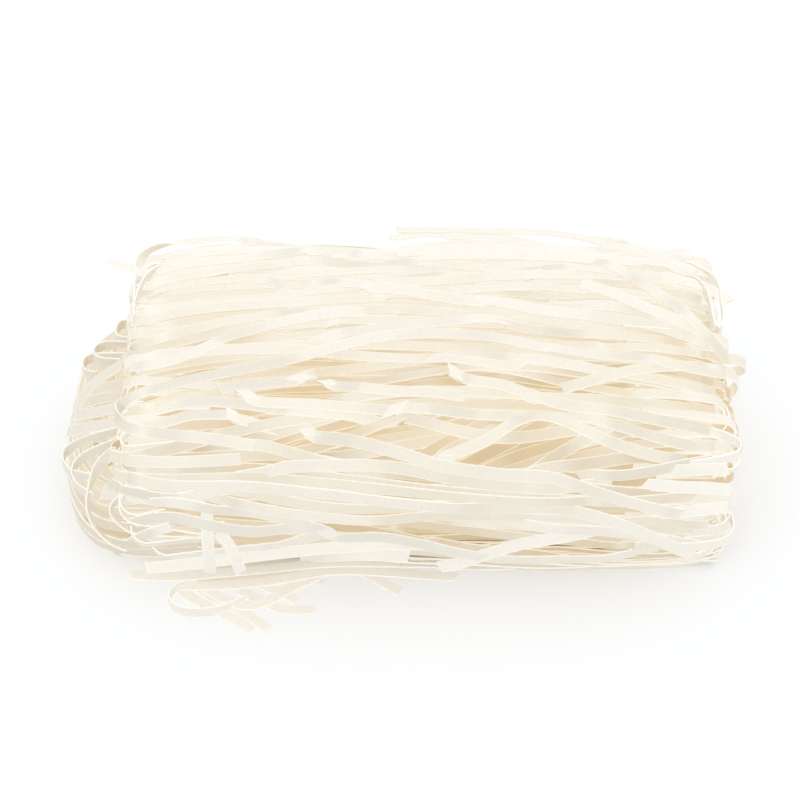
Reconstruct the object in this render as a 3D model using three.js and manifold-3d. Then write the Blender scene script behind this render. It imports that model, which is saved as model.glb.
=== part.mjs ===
// A bundle of dried flat noodles: a pressed block of long ribbons that run from end to end and turn back
// in hairpins, a lower fold of the same ribbons that stands out at the left end, and a few loose ribbons
// that have slid out on the table at the front. It is one solid: a core with the outer ribbons fused on.
// Millimetres, +Z up, +X along the ribbons, -Y towards the front. The underside is flat on Z = 0.
import * as THREE from "three";
import { mergeVertices } from "three/addons/utils/BufferGeometryUtils.js";
import Module from "manifold-3d";

// Driving dimensions of one ribbon and of the two rounded forms that the ribbons are wound on
const NOODLE = { width: 3.8, thickness: 0.95 };
const BLOCK = {
  centre: new THREE.Vector3(9, 12, 28),
  half: new THREE.Vector3(98, 56, 30),
  corner: 4.5, // how square the cross-section is
  end: 9, // how square the two ends are
  sides: 32,
  rings: 16,
};
const LOBE = {
  centre: new THREE.Vector3(-75, 10, 14),
  half: new THREE.Vector3(32, 49, 20),
  corner: 3,
  end: 3,
  sides: 24,
  rings: 12,
};
const CORE_INSET = 1.3; // from the ribbons' middle surface down to the core
const END_INSET = 6; // the core stops this far inside the tips of the hairpins
const FLOOR_LIFT = NOODLE.thickness / 2;

// The ribbons along the block: how many, how they wander, and the hairpins at their ends
const SHELL = { count: 34, spans: 8, drift: 9, wave: 1.6, lift: 1.1, scatter: 6 };
const FOOT_ANGLE = -0.78; // the wrap of ribbons starts here, at the foot of the front face
const HAIRPIN = { radius: [3.4, 5.6], spans: 4, tail: 14 };
const END_LOOPS = { columns: 4, rows: 2, jitter: 5, leg: 12 };

// The belts of ribbon round the left end of the lower fold
const BELT = { count: 7, spans: 11, sweep: 0.62 * Math.PI, lean: 2.5, pull: 3, bottom: 3.5, top: 31.5 };

// Loose ribbons on the table: where each leaves the block, where it ends, and how far it bows on the way
const LOOSE = [
  { from: [-66, -16], to: [-42, -68], bow: 7 },
  { from: [-58, -16], to: [-48, -66], bow: 5 },
  { from: [-52, -18], to: [-22, -55], bow: 6 },
  { from: [-10, -18], to: [14, -48], bow: 5 },
];
const LOOSE_SPANS = 6;
const LOOSE_STEP = 0.6; // each loose ribbon lies this much higher than the one before

const GOLDEN = 0.618034; // spreads a row of values evenly without a pattern
const SEED = 20261;
const NOODLE_COLOUR = 0xf1e7d0;
const NOODLE_ROUGHNESS = 0.5;

const wasm = await Module();
wasm.setup();

// A repeatable random number in 0 to 1
function seeded(seed) {
  let state = seed >>> 0;
  return () => {
    state = (state + 0x6d2b79f5) >>> 0;
    let mixed = Math.imul(state ^ (state >>> 15), 1 | state);
    mixed = (mixed + Math.imul(mixed ^ (mixed >>> 7), 61 | mixed)) ^ mixed;
    return ((mixed ^ (mixed >>> 14)) >>> 0) / 2 ** 32;
  };
}

const random = seeded(SEED);
const between = (low, high) => low + (high - low) * random();
const row = (count, make) => Array.from({ length: count }, (_, i) => make(i));
const lerp = THREE.MathUtils.lerp;

// A closed geometry as a solid that can be joined and cut
function solidOf(geometry) {
  const bare = geometry.clone();
  bare.deleteAttribute("normal");
  bare.deleteAttribute("uv");
  const merged = mergeVertices(bare, 1e-3);
  const mesh = new wasm.Mesh({
    numProp: 3,
    vertProperties: merged.attributes.position.array,
    triVerts: new Uint32Array(merged.index.array),
  });
  return new wasm.Manifold(mesh);
}

function geometryOf(solid) {
  const mesh = solid.getMesh();
  const places = row(mesh.numVert, (i) => [...mesh.vertProperties.subarray(i * mesh.numProp, i * mesh.numProp + 3)]);
  const geometry = new THREE.BufferGeometry();
  geometry.setAttribute("position", new THREE.Float32BufferAttribute(places.flat(), 3));
  geometry.setIndex(new THREE.BufferAttribute(mesh.triVerts, 1));
  geometry.computeVertexNormals();
  return geometry;
}

// How far out a form's skin lies along a direction, where 1 is the form's half size
function skinScale(form, x, y, z) {
  const across = (Math.abs(y) ** form.corner + Math.abs(z) ** form.corner) ** (form.end / form.corner);
  return (across + Math.abs(x) ** form.end) ** (-1 / form.end);
}

// The core of a form: a sphere pushed out to a rounded block, a little smaller than the skin of ribbons
function core(form) {
  const geometry = new THREE.SphereGeometry(1, form.sides, form.rings);
  geometry.rotateZ(Math.PI / 2);
  const place = geometry.attributes.position;
  const half = form.half.clone().sub(new THREE.Vector3(END_INSET, CORE_INSET, CORE_INSET));
  for (let i = 0; i < place.count; i++) {
    const v = new THREE.Vector3().fromBufferAttribute(place, i);
    v.multiplyScalar(skinScale(form, v.x, v.y, v.z)).multiply(half).add(form.centre);
    place.setXYZ(i, v.x, v.y, v.z);
  }
  return solidOf(geometry);
}

// The block's skin at one station. The angle is 0 at the front, a quarter turn at the top and a half at the back.
function blockSkin(x, angle, lift) {
  const { centre, half, corner, end } = BLOCK;
  const along = Math.min(Math.abs(x - centre.x) / half.x, 0.99);
  const [y, z] = [-Math.cos(angle), Math.sin(angle)];
  const scale = (1 - along ** end) ** (1 / end) * skinScale(BLOCK, 0, y, z);
  const slope = (v, size) => (Math.sign(v) * Math.abs(v * scale) ** (corner - 1)) / size;
  const normal = new THREE.Vector3(0, slope(y, half.y), slope(z, half.z)).normalize();
  const point = new THREE.Vector3(x, y * scale * half.y + centre.y, z * scale * half.z + centre.z);
  point.addScaledVector(normal, lift);
  point.z = Math.max(point.z, FLOOR_LIFT);
  return { point, normal };
}

// Turns a length round the block's skin, from the front foot over the top, into an angle
function blockWrap() {
  const steps = 400;
  const angles = row(steps + 1, (i) => lerp(FOOT_ANGLE, Math.PI - FOOT_ANGLE, i / steps));
  const points = angles.map((angle) => blockSkin(BLOCK.centre.x, angle, 0).point);
  const run = [0];
  for (let i = 1; i <= steps; i++) run.push(run[i - 1] + points[i].distanceTo(points[i - 1]));
  const angleAt = (length) => angles[Math.max(run.findIndex((r) => r >= length), 0)];
  return { length: run[steps], angleAt };
}

// A flat ribbon along stations of { point, normal }: a long box whose slices are set across the centre line
function ribbon(stations) {
  const line = new THREE.CatmullRomCurve3(stations.map((s) => s.point), false, "centripetal");
  const facing = new THREE.CatmullRomCurve3(stations.map((s) => s.normal), false, "centripetal");
  const geometry = new THREE.BoxGeometry(1, NOODLE.width, NOODLE.thickness, stations.length - 1, 1, 1);
  const place = geometry.attributes.position;
  for (let i = 0; i < place.count; i++) {
    const t = THREE.MathUtils.clamp(place.getX(i) + 0.5, 0, 1);
    const tangent = line.getTangent(t);
    const side = facing.getPoint(t).cross(tangent).normalize();
    const up = tangent.clone().cross(side);
    const v = line.getPoint(t).addScaledVector(side, place.getY(i)).addScaledVector(up, place.getZ(i));
    place.setXYZ(i, v.x, v.y, v.z);
  }
  return solidOf(geometry);
}

// The turn at a ribbon's end: half a circle inwards, then a tail that runs back into the core
function hairpin(last, way, radius) {
  const ahead = new THREE.Vector3(way, 0, 0);
  const turned = row(HAIRPIN.spans, (k) => {
    const turn = (Math.PI * (k + 1)) / HAIRPIN.spans;
    const point = last.point.clone();
    point.addScaledVector(ahead, radius * Math.sin(turn));
    point.addScaledVector(last.normal, radius * (Math.cos(turn) - 1));
    const normal = last.normal.clone().multiplyScalar(Math.cos(turn)).addScaledVector(ahead, Math.sin(turn));
    return { point, normal };
  });
  const { point, normal } = turned[HAIRPIN.spans - 1];
  return [...turned, { point: point.clone().addScaledVector(ahead, -HAIRPIN.tail), normal }];
}

// The ribbons along the block: each keeps its own place round the skin and has a hairpin at both ends
function shellRibbons() {
  const wrap = blockWrap();
  return row(SHELL.count, (k) => {
    const place = ((k + 0.5) / SHELL.count) * wrap.length;
    const lift = SHELL.lift * ((k * GOLDEN) % 1);
    const radius = between(...HAIRPIN.radius);
    const left = BLOCK.centre.x - BLOCK.half.x + radius + between(0, SHELL.scatter);
    const right = BLOCK.centre.x + BLOCK.half.x - radius - between(0, SHELL.scatter);
    const drift = between(-SHELL.drift, SHELL.drift) / 2;
    const phase = between(0, Math.PI);
    const stations = row(SHELL.spans + 1, (i) => {
      const t = i / SHELL.spans;
      const wander = drift * (2 * t - 1) + SHELL.wave * Math.sin(2 * Math.PI * t + phase);
      const length = THREE.MathUtils.clamp(place + wander, 0, wrap.length);
      return blockSkin(lerp(left, right, t), wrap.angleAt(length), lift);
    });
    const start = hairpin(stations[0], -1, radius).reverse();
    return ribbon([...start, ...stations, ...hairpin(stations[SHELL.spans], 1, radius)]);
  });
}

// Hairpins that stand out of the two end faces, in rows and columns that are a little out of line
function endLoops() {
  const loops = [];
  for (const way of [-1, 1]) {
    for (let k = 0; k < END_LOOPS.columns * END_LOOPS.rows; k++) {
      const column = (k % END_LOOPS.columns) + 0.5;
      const level = Math.floor(k / END_LOOPS.columns) + 0.5;
      const radius = between(...HAIRPIN.radius);
      const tip = BLOCK.centre.x + way * (BLOCK.half.x - radius - 1);
      const y = BLOCK.centre.y + (column / END_LOOPS.columns - 0.5) * 1.6 * BLOCK.half.y;
      const z = BLOCK.centre.z + (level / END_LOOPS.rows - 0.5) * 1.3 * BLOCK.half.z;
      const roll = between(-1, 1);
      const normal = new THREE.Vector3(0, Math.sin(roll), Math.cos(roll));
      const shift = () => between(-END_LOOPS.jitter, END_LOOPS.jitter);
      const middle = new THREE.Vector3(tip, y + shift(), z + shift());
      const last = { point: middle.addScaledVector(normal, radius), normal };
      const leg = { point: last.point.clone().setX(tip - way * END_LOOPS.leg), normal };
      loops.push(ribbon([leg, last, ...hairpin(last, way, radius)]));
    }
  }
  return loops;
}

// The ribbons of the lower fold: belts that go round its left end, one above another
function lobeBelts() {
  const { centre, half, end } = LOBE;
  return row(BELT.count, (k) => {
    const height = lerp(BELT.bottom, BELT.top, k / (BELT.count - 1));
    const lean = between(-BELT.lean, BELT.lean);
    const pull = between(0, BELT.pull);
    const stations = row(BELT.spans + 1, (i) => {
      const t = (2 * i) / BELT.spans - 1;
      const [x, y] = [-Math.cos(BELT.sweep * t), Math.sin(BELT.sweep * t)];
      const z = Math.max(height + lean * t, NOODLE.width / 2);
      const level = (z - centre.z) / half.z;
      const scale = (1 - Math.min(Math.abs(level), 0.97) ** end) ** (1 / end) * skinScale(LOBE, x, y, 0);
      const point = new THREE.Vector3(x * scale * (half.x - pull), y * scale * half.y, 0).add(centre).setZ(z);
      const normal = new THREE.Vector3(x / half.x, y / half.y, (level * 0.6) / half.z).normalize();
      return { point, normal };
    });
    return ribbon(stations);
  });
}

function looseRibbons() {
  const up = new THREE.Vector3(0, 0, 1);
  return LOOSE.map(({ from, to, bow }, k) => {
    const [start, end] = [from, to].map(([x, y]) => new THREE.Vector3(x, y, FLOOR_LIFT + LOOSE_STEP * k));
    const across = end.clone().sub(start).cross(up).normalize();
    const stations = row(LOOSE_SPANS + 1, (i) => {
      const t = i / LOOSE_SPANS;
      const point = start.clone().lerp(end, t).addScaledVector(across, bow * Math.sin(Math.PI * t));
      return { point, normal: up };
    });
    return ribbon(stations);
  });
}

// All that lies under the table's surface
function underFloor() {
  const [spread, depth] = [600, 100];
  const geometry = new THREE.BoxGeometry(spread, spread, depth);
  geometry.translate(0, 0, -depth / 2);
  return solidOf(geometry);
}

// Cores and ribbons joined, cut flat below. The largest body is kept, so sealed hollows are filled and scraps go.
function bundle() {
  const pieces = [core(LOBE), ...shellRibbons(), ...endLoops(), ...lobeBelts(), ...looseRibbons()];
  const joined = pieces.reduce((whole, piece) => whole.add(piece), core(BLOCK));
  const bodies = joined.subtract(underFloor()).decompose();
  return bodies.reduce((best, body) => (body.volume() > best.volume() ? body : best));
}

const material = new THREE.MeshStandardMaterial({ color: NOODLE_COLOUR, roughness: NOODLE_ROUGHNESS, metalness: 0 });
const noodles = new THREE.Mesh(geometryOf(bundle()), material);
noodles.name = "noodle_bundle";

// The origin is the middle of the footprint
noodles.geometry.computeBoundingBox();
const middle = noodles.geometry.boundingBox.getCenter(new THREE.Vector3());
noodles.position.set(-middle.x, -middle.y, 0);

const part = new THREE.Group();
part.add(noodles);

export default part;
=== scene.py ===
"""Looks of a bundle of dried flat noodles: every strand that shows, laid one on another over a core."""

import math
from dataclasses import dataclass

import bpy
import numpy as np
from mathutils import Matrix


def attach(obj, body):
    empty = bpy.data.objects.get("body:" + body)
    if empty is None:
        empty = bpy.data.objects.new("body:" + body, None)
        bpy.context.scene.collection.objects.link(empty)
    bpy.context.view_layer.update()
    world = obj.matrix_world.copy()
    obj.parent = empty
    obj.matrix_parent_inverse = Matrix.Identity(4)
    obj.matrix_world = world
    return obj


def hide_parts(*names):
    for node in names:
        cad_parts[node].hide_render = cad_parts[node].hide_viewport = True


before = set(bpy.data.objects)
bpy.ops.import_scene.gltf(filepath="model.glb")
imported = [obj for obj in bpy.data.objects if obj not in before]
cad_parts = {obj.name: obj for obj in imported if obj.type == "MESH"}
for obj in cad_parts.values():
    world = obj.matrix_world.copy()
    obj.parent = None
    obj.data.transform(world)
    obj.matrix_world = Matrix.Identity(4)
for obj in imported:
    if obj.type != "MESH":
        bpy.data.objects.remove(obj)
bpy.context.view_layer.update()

# Sizes in millimetres, in the part's frame: X along the strands, -Y to the front, Z up
MM = 0.001
WIDTH = 3.8
THICKNESS = 0.6
EDGE_ROUND = 0.15
STEP = 1.0
UP = np.array([0.0, 0.0, 1.0])

# The rounded block that the strands are laid on, and the lower fold that stands out at the left
BLOCK_CENTRE = np.array([8.6, 12.0, 28.0])
BLOCK_HALF = np.array([98.0, 56.0, 30.0])
BLOCK_CORNER = 4.5
BLOCK_END = 9.0
TAPER_LIMIT = 0.965
FOOT_ANGLE = -0.78
LOBE_CENTRE = np.array([-75.4, 10.0, 14.0])
LOBE_HALF = np.array([32.0, 49.0, 20.0])
LOBE_SQUARE = 3.0
LEFT_END = BLOCK_CENTRE[0] - BLOCK_HALF[0]
RIGHT_END = BLOCK_CENTRE[0] + BLOCK_HALF[0]

# The photograph's camera: what it looks at, from how far and how high, and its focal length in pixels
FRAME_PIXELS = 800
CAMERA_TARGET = np.array([0.6, 15.0, 25.0])
CAMERA_DISTANCE = 800.0
CAMERA_ELEVATION = math.radians(42.0)
FOCAL_PIXELS = 2448.0
PIXELS_PER_MM = FOCAL_PIXELS / CAMERA_DISTANCE
SENSOR = 36.0

GOLDEN = 0.618034
RNG = np.random.default_rng(41)


# Values along a line

CURVE_SAMPLES = 24
KNOT_BLUR = 0.35


def blur(values, sigma):
    """Gaussian blur of a row of values, with the end values held."""
    reach = max(int(3 * sigma), 1)
    kernel = np.exp(-0.5 * (np.arange(-reach, reach + 1) / sigma) ** 2)
    padded = np.pad(values, reach, mode="edge")
    return np.convolve(padded, kernel / kernel.sum(), mode="valid")


def blur_columns(table, sigma):
    return np.stack([blur(column, sigma) for column in table.T], 1)


def highest(values, reach):
    """The highest value within reach samples."""
    padded = np.pad(values, reach, mode="edge")
    return np.lib.stride_tricks.sliding_window_view(padded, 2 * reach + 1).max(1)


def smoothstep(low, high, values):
    t = np.clip((values - low) / (high - low), 0, 1)
    return t * t * (3 - 2 * t)


def bump(away, run):
    """A smooth rise to 1 and back, round the place where away is 0."""
    return np.exp(-((away / run) ** 2))


def read_off(table, values):
    """What a table of places, and of what holds there, gives at other places."""
    return np.interp(values, *zip(*table))


def unit(vectors):
    return vectors / np.maximum(np.linalg.norm(vectors, axis=-1, keepdims=True), 1e-9)


def heading_of(line):
    return unit(np.gradient(line, axis=0))


def wander(count, wavelength, size):
    """Smooth random values, one for each sample of a strand."""
    knots = np.arange(-1, int(count / wavelength) + 4)
    raw = np.interp(np.arange(count) / wavelength, knots, RNG.normal(0, size, len(knots)))
    return blur(raw, KNOT_BLUR * wavelength)


def run_length(points):
    return np.concatenate([[0], np.cumsum(np.linalg.norm(np.diff(points, axis=0), axis=1))])


def resample(points, step=STEP):
    """The same line with points at even distances."""
    run = run_length(points)
    wanted = np.linspace(0, run[-1], max(int(round(run[-1] / step)), 3) + 1)
    return np.stack([np.interp(wanted, run, column) for column in points.T], 1)


def curve(points):
    """A smooth line through pixels, with points a step of the strands apart."""
    p = np.asarray(points, float)
    p = np.vstack([2 * p[0] - p[1], p, 2 * p[-1] - p[-2]])
    t = np.linspace(0, 1, CURVE_SAMPLES, endpoint=False)[:, None]
    spans = [
        0.5 * (2 * b + (c - a) * t + (2 * a - 5 * b + 4 * c - d) * t**2 + (3 * b - a - 3 * c + d) * t**3)
        for a, b, c, d in zip(p, p[1:], p[2:], p[3:])
    ]
    return resample(np.vstack(spans + [p[-2:-1]]), PIXELS_PER_MM * STEP)


# The block's skin, in coordinates of x along it and girth round it, from the front foot over the top

SECTION_SAMPLES = 1441


def section_table():
    """Girth, place and normal round the block's cross-section."""
    angle = np.linspace(FOOT_ANGLE, math.pi - FOOT_ANGLE, SECTION_SAMPLES)
    way = np.stack([-np.cos(angle), np.sin(angle)], 1)
    way /= ((np.abs(way) ** BLOCK_CORNER).sum(1) ** (1 / BLOCK_CORNER))[:, None]
    place = way * BLOCK_HALF[1:]
    normal = unit(np.sign(way) * np.abs(way) ** (BLOCK_CORNER - 1) / BLOCK_HALF[1:])
    return run_length(place), place, normal


GIRTH, SECTION, SECTION_NORMAL = section_table()
GIRTH_LENGTH = GIRTH[-1]
FRONT_EDGE = GIRTH[np.abs(SECTION_NORMAL.sum(1))[: len(GIRTH) // 2].argmin()]


def end_taper(x):
    """How much smaller the cross-section is near the block's ends."""
    along = np.minimum(np.abs(x - BLOCK_CENTRE[0]) / BLOCK_HALF[0], TAPER_LIMIT)
    return (1 - along**BLOCK_END) ** (1 / BLOCK_END)


def skin_normal(s):
    ny, nz = (np.interp(s, GIRTH, column) for column in SECTION_NORMAL.T)
    return unit(np.stack([np.zeros_like(ny), ny, nz], -1))


def skin(x, s, lift):
    """Points at a height over the block's skin."""
    y, z = (np.interp(s, GIRTH, column) * end_taper(x) for column in SECTION.T)
    points = np.stack([x, y + BLOCK_CENTRE[1], z + BLOCK_CENTRE[2]], -1)
    points = points + skin_normal(s) * lift[..., None]
    points[..., 2] = np.maximum(points[..., 2], THICKNESS / 2)
    return points


def block_form(points, rise=0.0):
    """Points as shares of the block's half depth and half height there, with its skin raised."""
    half = (BLOCK_HALF[1:] + rise) * end_taper(points[..., :1])
    return (points[..., 1:] - BLOCK_CENTRE[1:]) / half


def block_outside(points, rise=0.0):
    return (np.abs(block_form(points, rise)) ** BLOCK_CORNER).sum(-1) - 1


def block_normal(points):
    form = block_form(points)
    slope = np.sign(form) * np.abs(form) ** (BLOCK_CORNER - 1) / BLOCK_HALF[1:]
    return unit(np.concatenate([np.zeros_like(slope[..., :1]), slope], -1))


def lobe_outside(points):
    return (np.abs((points - LOBE_CENTRE) / LOBE_HALF) ** LOBE_SQUARE).sum(-1) - 1


# The camera's rays

CAMERA_AHEAD = np.array([0.0, math.cos(CAMERA_ELEVATION), -math.sin(CAMERA_ELEVATION)])
CAMERA_UP = np.array([0.0, math.sin(CAMERA_ELEVATION), math.cos(CAMERA_ELEVATION)])
CAMERA_RIGHT = np.array([1.0, 0.0, 0.0])
CAMERA_PLACE = CAMERA_TARGET - CAMERA_DISTANCE * CAMERA_AHEAD
RAY_REACH = 130.0
RAY_STEP = 0.5
RAY_RUN = np.arange(CAMERA_DISTANCE - RAY_REACH, CAMERA_DISTANCE + RAY_REACH, RAY_STEP)
HIT_BLUR = 2.0


def ray_points(pixels):
    """Points along the camera's ray through each pixel."""
    across = (pixels - FRAME_PIXELS / 2) / FOCAL_PIXELS
    way = CAMERA_AHEAD + across[:, :1] * CAMERA_RIGHT - across[:, 1:] * CAMERA_UP
    return CAMERA_PLACE + unit(way)[:, None, :] * RAY_RUN[None, :, None]


def meet(pixels, outside):
    """Where each pixel's ray first meets a form, or passes nearest to it."""
    rays = ray_points(pixels)
    away = outside(rays)
    inside = away < 0
    index = np.where(inside.any(1), inside.argmax(1), away.argmin(1))
    return rays[np.arange(len(rays)), index]


def onto_block(pixels, rise):
    """Pixels as x and girth on the block, where the strand stands by rise over the block's skin."""
    hit = meet(pixels, lambda rays: block_outside(rays, rise[:, None, None]))
    flat = (hit[:, 1:] - BLOCK_CENTRE[1:]) / end_taper(hit[:, :1])
    nearest = ((flat[:, None, :] - SECTION[None]) ** 2).sum(-1).argmin(1)
    return blur_columns(np.stack([hit[:, 0], GIRTH[nearest]], 1), HIT_BLUR)


def onto(pixels, outside, lift):
    """Pixels as points on a form, raised towards the camera."""
    hit = blur_columns(meet(pixels, outside), HIT_BLUR)
    return resample(hit - unit(hit - CAMERA_PLACE) * lift)


def on_plane(pixels, axis, place):
    """Pixels as points at a place on one of the axes."""
    near, far = ray_points(pixels)[:, :2, :].swapaxes(0, 1)
    share = (place - near[:, axis]) / (far[:, axis] - near[:, axis])
    return near + share[:, None] * (far - near)


def at_height(pixels, height):
    return on_plane(pixels, 2, height)


# Strands, and the heap that they are laid on

@dataclass
class Strand:
    """A strand in space: its middle line, the way its face looks, its values, its width, its ends' skew.

    The values are how white it is, how deep it lies in the heap, and how clear it is of what lies below it:
    the depth and the clearance give its painted shade.
    """
    points: np.ndarray
    facing: np.ndarray
    mark: np.ndarray
    depth: np.ndarray
    clear: np.ndarray
    width: float = WIDTH
    skew: tuple = None

    def from_other_end(self):
        rows = (self.points, self.facing, self.mark, self.depth, self.clear)
        return Strand(*(row[::-1] for row in rows), self.width)


@dataclass
class LaidStrand:
    """A strand on the block's skin: its path of x and girth, its height over the heap's base, its twist."""
    path: np.ndarray
    lift: np.ndarray
    clear: np.ndarray
    twist: np.ndarray
    width: float
    ends: tuple
    mark: np.ndarray
    bend: float
    folds: list


class Heap:
    """How high the strands laid so far stand, on a grid of x and of the way across them."""
    CELL_X, CELL_S = 1.0, 0.5
    MARGIN = 25
    ACROSS = np.linspace(-0.5, 0.5, 9)
    CLEAR_BLUR = 2
    LEVEL_PERCENT = 72
    CREST_REACH = (4, 8)
    CREST_BLUR = 4
    HOLLOW_SHADE = 0.5

    def __init__(self, length):
        columns = int((2 * BLOCK_HALF[0] + 2 * self.MARGIN) / self.CELL_X)
        self.height = np.zeros((columns, int(length / self.CELL_S) + 1))

    def cells(self, x, s):
        i = ((x - LEFT_END + self.MARGIN) / self.CELL_X).astype(int)
        j = (s / self.CELL_S).astype(int)
        return np.clip(i, 0, self.height.shape[0] - 1), np.clip(j, 0, self.height.shape[1] - 1)

    def lay(self, path, twist, width, dip, stiffness, lowest=0.0):
        """Rests a strand on the heap. Returns its height along the path, and how clear it is of the heap."""
        heading = heading_of(path)
        offset = self.ACROSS * width
        flat = offset * np.cos(twist)[:, None]
        rise = offset * np.sin(twist)[:, None]
        cells = self.cells(path[:, :1] - heading[:, 1:] * flat, path[:, 1:] + heading[:, :1] * flat)
        body = 0.5 * THICKNESS * np.abs(np.cos(twist))
        need = (self.height[cells] + rise).max(1) + body
        reach = max(int(stiffness / STEP), 1)
        lift = blur(highest(np.maximum(need, lowest), reach), reach) - dip
        np.maximum.at(self.height, cells, lift[:, None] - rise + body[:, None])
        return lift, blur(np.maximum(lift - need, 0), self.CLEAR_BLUR)

    def top(self, path):
        """The heap's height along a path."""
        return self.height[self.cells(path[:, :1], path[:, 1:] + self.ACROSS * WIDTH)].max(1)

    def level(self):
        """The height that most of the heap stays below."""
        edge = 2 * self.MARGIN
        return float(np.percentile(self.height[edge:-edge], self.LEVEL_PERCENT))

    def closed(self, height):
        """A height with its narrow gaps closed."""
        for axis, reach in enumerate(self.CREST_REACH):
            wide = [(reach, reach) if axis == k else (0, 0) for k in (0, 1)]
            padded = np.pad(height, wide, mode="edge")
            height = np.lib.stride_tricks.sliding_window_view(padded, 2 * reach + 1, axis=axis).max(-1)
        return blur_columns(blur_columns(height, self.CREST_BLUR).T, self.CREST_BLUR).T

    def crest(self):
        """The height that depths are taken from: the heap's top, raised in hollows to its usual level."""
        usual = self.closed(np.maximum(self.height, self.level()))
        return self.HOLLOW_SHADE * usual + (1 - self.HOLLOW_SHADE) * self.closed(self.height)


# The floor before the block has a heap of its own, from its back forwards
FLOOR_BACK = -10.0
FLOOR_REACH = 70.0

heap = Heap(GIRTH_LENGTH)
ground = Heap(FLOOR_REACH)

# How a strand lies: its bends, its lean to the front edge by girth in degrees, its kinks and its ends
SHARP_TURN = 0.06
BACK_TURN = 2.0
TURN_BLUR = 2
LEAN = [(0, 18), (30, 14), (FRONT_EDGE, 0), (90, -14), (130, -12), (165, 0)]
SWAY_LENGTH = 38.0
STIFFNESS = 6.0
KINK_SHARP = 0.9
KINK_RUN = 13.0
KINK_TWIST = (3, 9)
KINK_SHIFT = (0.3, 0.8)
CREASE_MARK = 0.6
CREASE_RUN = 2.0
TURN_MARK = (0, 0.8)
OVER_MARK = (0, 0.9)
MARK_RUN = 2.5
MARK_BEFORE_TURN = 4
MARK_BEFORE_END = 3
TUCK_RUN = 18.0
TUCK_DEPTH = 3.0
BEND_RADIUS = (4.5, 7.5)


def bends(path):
    """The stretches in which a path turns sharply, each with the way it turns if it turns back on itself."""
    heading = np.gradient(path, axis=0)
    angle = np.unwrap(np.arctan2(heading[:, 1], heading[:, 0]))
    sharp = blur(np.abs(np.gradient(angle)), TURN_BLUR) > SHARP_TURN
    change = np.flatnonzero(np.diff(np.concatenate([[0], sharp.astype(int), [0]])))
    turns = [(a, b, angle[b - 1] - angle[a]) for a, b in zip(change[::2], change[1::2])]
    return [(a, b, np.sign(turn) * (abs(turn) > BACK_TURN)) for a, b, turn in turns]


def tucked(distance):
    """How much of the way down a tucked end goes, by the distance from it."""
    return smoothstep(TUCK_RUN, 0, distance)


def lay_strand(path, width, ends, sway, kinks=(), bend=0.0, lowest=0.0):
    """Lays a strand along a path on the block's skin. It turns over where its path turns back on itself."""
    count = len(path)
    run = np.arange(count) * STEP
    path = path.copy()
    twist = np.radians(wander(count, SWAY_LENGTH / STEP, sway))
    mark = np.zeros(count)
    for place in kinks:
        away = run - place
        jog = RNG.choice([-1, 1]) * np.tanh(away / KINK_SHARP) * np.exp(-np.abs(away) / KINK_RUN)
        twist += jog * math.radians(RNG.uniform(*KINK_TWIST))
        path[:, 1] += jog * RNG.uniform(*KINK_SHIFT)
        mark = np.maximum(mark, CREASE_MARK * bump(away, CREASE_RUN))
    twist += np.radians(read_off(LEAN, path[:, 1])) * heading_of(path)[:, 0]
    for a, b, back in bends(path):
        if back:
            twist -= back * math.pi * smoothstep(a * STEP, b * STEP, run)
            for place in (a - MARK_BEFORE_TURN, b + MARK_BEFORE_TURN):
                mark = np.maximum(mark, RNG.uniform(*TURN_MARK) * bump(run / STEP - place, MARK_RUN))
    dip = np.zeros(count)
    for end, distance in zip(ends, (run, run[::-1])):
        if end == "tuck":
            dip += TUCK_DEPTH * tucked(distance)
        if end == "over":
            mark = np.maximum(mark, RNG.uniform(*OVER_MARK) * bump(distance - MARK_BEFORE_END, MARK_RUN))
    lift, clear = heap.lay(path, twist, width, dip, STIFFNESS, lowest)
    folds = [min(max(int(place / STEP), 1), count - 2) for place in kinks]
    return LaidStrand(path, lift, clear, twist, width, ends, mark, bend, folds)


# Strands from the heap into space, with the depths that their painted shade comes from

# Painted shade: how much darker a strand gets where it goes back into the heap
OVER_DEPTH = 1.8
OVER_TAIL = (8, 18)
OVER_SAMPLES = 6
OVER_DARK_FROM = 0.6
OVER_DARK_RUN = 8
FOLD_ANGLE = (36, 52)
FOLD_WIDTH = (2.4, 3.4)
FOLD_SAMPLES = 4
FOLD_LEAN = math.radians(5)
FOLD_MARK = 0.35
FOLD_STEP = 0.35 * THICKNESS
FOLD_DEEPEST = 2.5
FOLD_TILT = 0.5

# Painted light: what a depth is multiplied by, by girth and by the distance from the left end, so that
# strands at the back and at the left end are paler
BACK_LIGHT = [(100, 1.0), (125, 0.7), (145, 0.1), (155, 0.2), (170, 1.0)]
LEFT_LIGHT = [(4, 0.65), (20, 1.0)]
LEFT_FRONT = [(5, 1.0), (30, 0.0)]
# Painted shade added to a depth, by girth from the front edge, by x, and by the distance from either end
EDGE_SHADE = [(-28, 0.0), (-10, 0.6), (8, 0.9), (30, 0.9), (50, 0.0)]
EDGE_ALONG = [(-45, 0.5), (15, 1.7)]
END_SHADE = [(4, 1.0), (22, 0.0)]
RIGHT_BACK = [(110, 1.0), (140, 0.4)]
# How much of a strand's clearance counts for its painted shade, by girth: little at the lit lower front
FRONT_CLEAR = [(12, 0.2), (32, 1.0)]


def tones(x, s):
    """Painted light and shade by place: what a strand's depth is multiplied by at places on the skin, and
    what is added to it.
    """
    left_front = read_off(LEFT_FRONT, s - FRONT_EDGE)
    left = read_off(LEFT_LIGHT, x - LEFT_END)
    bright = read_off(BACK_LIGHT, s) * (left_front + (1 - left_front) * left)
    shade = read_off(EDGE_SHADE, s - FRONT_EDGE) * read_off(EDGE_ALONG, x)
    shade += read_off(END_SHADE, RIGHT_END - x) * read_off(RIGHT_BACK, s)
    shade += read_off(END_SHADE, x - LEFT_END) * left_front
    return bright, shade


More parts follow.
